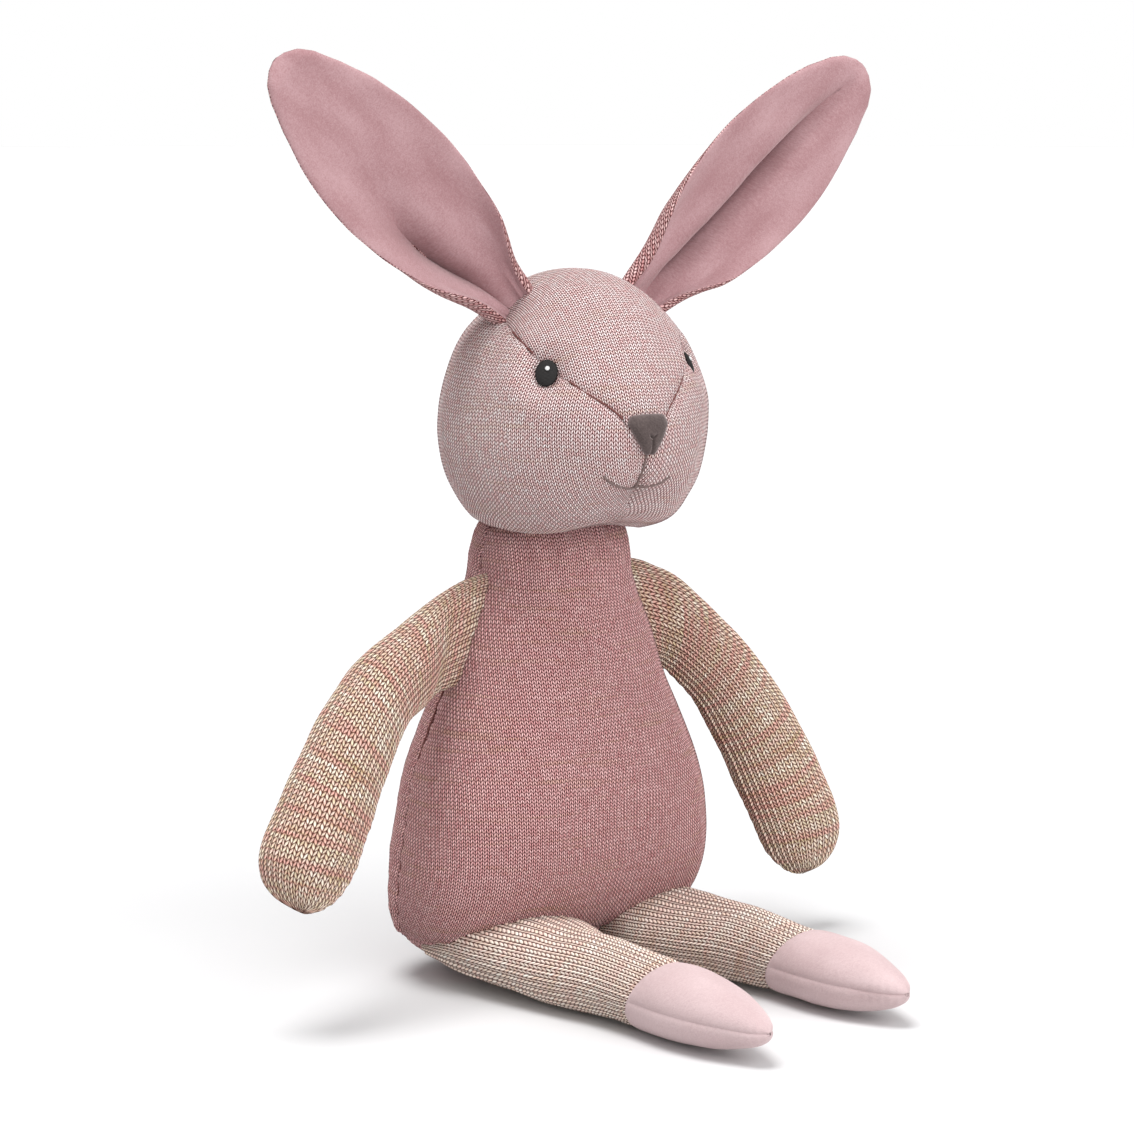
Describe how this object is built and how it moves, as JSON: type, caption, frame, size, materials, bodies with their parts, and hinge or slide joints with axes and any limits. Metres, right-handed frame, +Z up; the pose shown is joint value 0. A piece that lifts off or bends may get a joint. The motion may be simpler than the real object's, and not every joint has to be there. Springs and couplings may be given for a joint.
{
  "type": "stuffed bunny rabbit",
  "caption": "Sitting knitted soft toy rabbit with long upright velour-lined ears, hanging arms, straight legs with velour feet, and an embroidered face.",
  "frame": {"origin": "on the flat seat, on the surface that the toy sits on, straight below the neck", "axes": "+Z up; the toy faces -Y, with its own right side at -X"},
  "size_m": [0.2418, 0.1792, 0.3007],
  "materials": {
    "knit_head": "matte",
    "knit_body": "matte",
    "knit_marl": "matte",
    "velour": "matte",
    "nose_velour": "matte",
    "grey_thread": "matte",
    "black_thread": "matte",
    "white_thread": "matte",
    "neck_thread": "matte",
    "filling": "matte"
  },
  "bodies": {
    "torso": {"body_front": "knit_body", "body_back": "knit_body", "body_stuffing": "filling"},
    "neck": {"neck_stuffing": "filling", "neck_stitches": "neck_thread"},
    "head": {"head_gusset": "knit_head", "head_side_left": "knit_head", "head_side_right": "knit_head", "head_stuffing": "filling", "nose": "nose_velour", "philtrum_stitch": "grey_thread", "mouth_stitch": "grey_thread", "eye_left": "black_thread", "eye_right": "black_thread", "eye_glint_left": "white_thread", "eye_glint_right": "white_thread"},
    "ear_left": {"ear_left_back": "knit_head", "ear_left_lining": "velour"},
    "arm_left": {"arm_left_knit": "knit_marl", "arm_left_stuffing": "filling"},
    "leg_left": {"leg_left_knit": "knit_marl", "foot_left_upper": "velour", "foot_left_sole": "velour", "leg_left_stuffing": "filling"},
    "ear_right": {"ear_right_back": "knit_head", "ear_right_lining": "velour"},
    "arm_right": {"arm_right_knit": "knit_marl", "arm_right_stuffing": "filling"},
    "leg_right": {"leg_right_knit": "knit_marl", "foot_right_upper": "velour", "foot_right_sole": "velour", "leg_right_stuffing": "filling"}
  },
  "joints": [
    {"name": "neck_turn", "type": "hinge", "parent": "torso", "child": "neck", "pos_m": [0, 0, 0.13], "axis": [0, 0, 1], "range_deg": [-35, 50]},
    {"name": "head_nod", "type": "hinge", "parent": "neck", "child": "head", "pos_m": [0, 0, 0.13], "axis": [0.9848, -0.1736, 0], "range_deg": [-15, 15]},
    {"name": "ear_left_bend", "type": "hinge", "parent": "head", "child": "ear_left", "pos_m": [0.0277, -0.0154, 0.2241], "axis": [0.659, -0.1162, -0.7431], "range_deg": [-30, 30], "stiffness_Nm_per_rad": 0.01},
    {"name": "ear_right_bend", "type": "hinge", "parent": "head", "child": "ear_right", "pos_m": [-0.0243, -0.0062, 0.2241], "axis": [0.659, -0.1162, 0.7431], "range_deg": [-30, 30], "stiffness_Nm_per_rad": 0.01},
    {"name": "arm_left_swing", "type": "hinge", "parent": "torso", "child": "arm_left", "pos_m": [0.03875, 0, 0.11675], "axis": [0.2765, 0, -0.961], "range_deg": [-40, 55]},
    {"name": "arm_right_swing", "type": "hinge", "parent": "torso", "child": "arm_right", "pos_m": [-0.03875, 0, 0.11675], "axis": [0.2765, 0, 0.961], "range_deg": [-40, 55]},
    {"name": "leg_left_swing", "type": "hinge", "parent": "torso", "child": "leg_left", "pos_m": [0.027, -0.0215, 0.013], "axis": [-0.9659, -0.2588, 0], "range_deg": [-72, 20]},
    {"name": "leg_right_swing", "type": "hinge", "parent": "torso", "child": "leg_right", "pos_m": [-0.027, -0.0215, 0.013], "axis": [-0.9659, 0.2588, 0], "range_deg": [-72, 20]}
  ]
}
